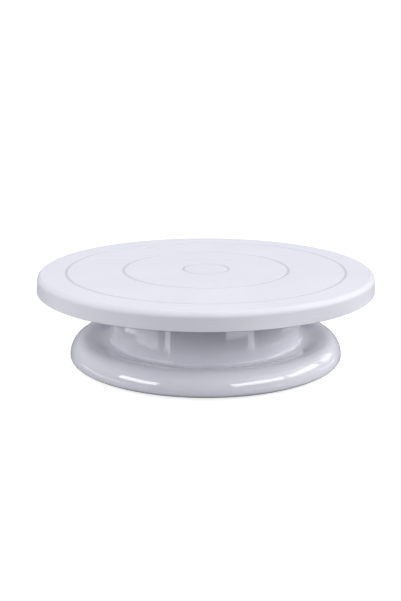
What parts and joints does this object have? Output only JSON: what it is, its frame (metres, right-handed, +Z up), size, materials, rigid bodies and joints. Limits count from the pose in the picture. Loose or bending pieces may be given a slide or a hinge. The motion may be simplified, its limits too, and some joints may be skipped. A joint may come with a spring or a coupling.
{
  "type": "cake turntable",
  "caption": "Low round turntable: a flat plate with a rounded rim and shallow guide rings, turning on a ball race over a pedestal drum and a rolled round foot.",
  "frame": {"origin": "on the surface it stands on, below the plate's spin axis, level with the foot pads' undersides", "axes": "+Z up along the spin axis, +X to the right and -Y to the front; the object looks the same from every side"},
  "size_m": [0.28, 0.28, 0.075],
  "materials": {
    "plate_plastic": "satin",
    "base_plastic": "gloss",
    "steel": "satin",
    "ball_steel": "polished",
    "brass": "machined",
    "nylon": "matte",
    "acetal": "satin",
    "pad_rubber": "matte"
  },
  "bodies": {
    "base": {"base": "base_plastic", "hub_bush": "acetal", "lower_race": "steel", "foot_pad_01": "pad_rubber", "foot_pad_02": "pad_rubber", "foot_pad_03": "pad_rubber", "foot_pad_04": "pad_rubber", "foot_pad_05": "pad_rubber", "foot_pad_06": "pad_rubber"},
    "platter": {"top_plate": "plate_plastic", "threaded_insert": "brass", "upper_race": "steel", "retaining_washer": "steel", "spring_washer": "steel", "pivot_screw": "steel"},
    "cage": {"ball_cage": "nylon"},
    "ball_01": {"ball_01": "ball_steel"},
    "ball_02": {"ball_02": "ball_steel"},
    "ball_03": {"ball_03": "ball_steel"},
    "ball_04": {"ball_04": "ball_steel"},
    "ball_05": {"ball_05": "ball_steel"},
    "ball_06": {"ball_06": "ball_steel"},
    "ball_07": {"ball_07": "ball_steel"},
    "ball_08": {"ball_08": "ball_steel"},
    "ball_09": {"ball_09": "ball_steel"},
    "ball_10": {"ball_10": "ball_steel"},
    "ball_11": {"ball_11": "ball_steel"},
    "ball_12": {"ball_12": "ball_steel"}
  },
  "joints": [
    {"name": "platter_spin", "type": "hinge", "parent": "base", "child": "platter", "pos_m": [0, 0, 0.075], "axis": [0, 0, 1], "continuous": true},
    {"name": "cage_spin", "type": "hinge", "parent": "base", "child": "cage", "pos_m": [0, 0, 0.063], "axis": [0, 0, 1], "continuous": true},
    {"name": "ball_01_roll", "type": "hinge", "parent": "cage", "child": "ball_01", "pos_m": [0.045, 0, 0.063], "axis": [1, 0, 0], "continuous": true},
    {"name": "ball_02_roll", "type": "hinge", "parent": "cage", "child": "ball_02", "pos_m": [0.03897, 0.0225, 0.063], "axis": [0.866, 0.5, 0], "continuous": true},
    {"name": "ball_03_roll", "type": "hinge", "parent": "cage", "child": "ball_03", "pos_m": [0.0225, 0.03897, 0.063], "axis": [0.5, 0.866, 0], "continuous": true},
    {"name": "ball_04_roll", "type": "hinge", "parent": "cage", "child": "ball_04", "pos_m": [0, 0.045, 0.063], "axis": [0, 1, 0], "continuous": true},
    {"name": "ball_05_roll", "type": "hinge", "parent": "cage", "child": "ball_05", "pos_m": [-0.0225, 0.03897, 0.063], "axis": [-0.5, 0.866, 0], "continuous": true},
    {"name": "ball_06_roll", "type": "hinge", "parent": "cage", "child": "ball_06", "pos_m": [-0.03897, 0.0225, 0.063], "axis": [-0.866, 0.5, 0], "continuous": true},
    {"name": "ball_07_roll", "type": "hinge", "parent": "cage", "child": "ball_07", "pos_m": [-0.045, 0, 0.063], "axis": [-1, 0, 0], "continuous": true},
    {"name": "ball_08_roll", "type": "hinge", "parent": "cage", "child": "ball_08", "pos_m": [-0.03897, -0.0225, 0.063], "axis": [-0.866, -0.5, 0], "continuous": true},
    {"name": "ball_09_roll", "type": "hinge", "parent": "cage", "child": "ball_09", "pos_m": [-0.0225, -0.03897, 0.063], "axis": [-0.5, -0.866, 0], "continuous": true},
    {"name": "ball_10_roll", "type": "hinge", "parent": "cage", "child": "ball_10", "pos_m": [0, -0.045, 0.063], "axis": [0, -1, 0], "continuous": true},
    {"name": "ball_11_roll", "type": "hinge", "parent": "cage", "child": "ball_11", "pos_m": [0.0225, -0.03897, 0.063], "axis": [0.5, -0.866, 0], "continuous": true},
    {"name": "ball_12_roll", "type": "hinge", "parent": "cage", "child": "ball_12", "pos_m": [0.03897, -0.0225, 0.063], "axis": [0.866, -0.5, 0], "continuous": true}
  ],
  "couplings": [
    {"joint": "cage_spin", "follows": "platter_spin", "ratio": 0.5},
    {"joint": "ball_01_roll", "follows": "platter_spin", "ratio": -7.0866},
    {"joint": "ball_02_roll", "follows": "platter_spin", "ratio": -7.0866},
    {"joint": "ball_03_roll", "follows": "platter_spin", "ratio": -7.0866},
    {"joint": "ball_04_roll", "follows": "platter_spin", "ratio": -7.0866},
    {"joint": "ball_05_roll", "follows": "platter_spin", "ratio": -7.0866},
    {"joint": "ball_06_roll", "follows": "platter_spin", "ratio": -7.0866},
    {"joint": "ball_07_roll", "follows": "platter_spin", "ratio": -7.0866},
    {"joint": "ball_08_roll", "follows": "platter_spin", "ratio": -7.0866},
    {"joint": "ball_09_roll", "follows": "platter_spin", "ratio": -7.0866},
    {"joint": "ball_10_roll", "follows": "platter_spin", "ratio": -7.0866},
    {"joint": "ball_11_roll", "follows": "platter_spin", "ratio": -7.0866},
    {"joint": "ball_12_roll", "follows": "platter_spin", "ratio": -7.0866}
  ]
}
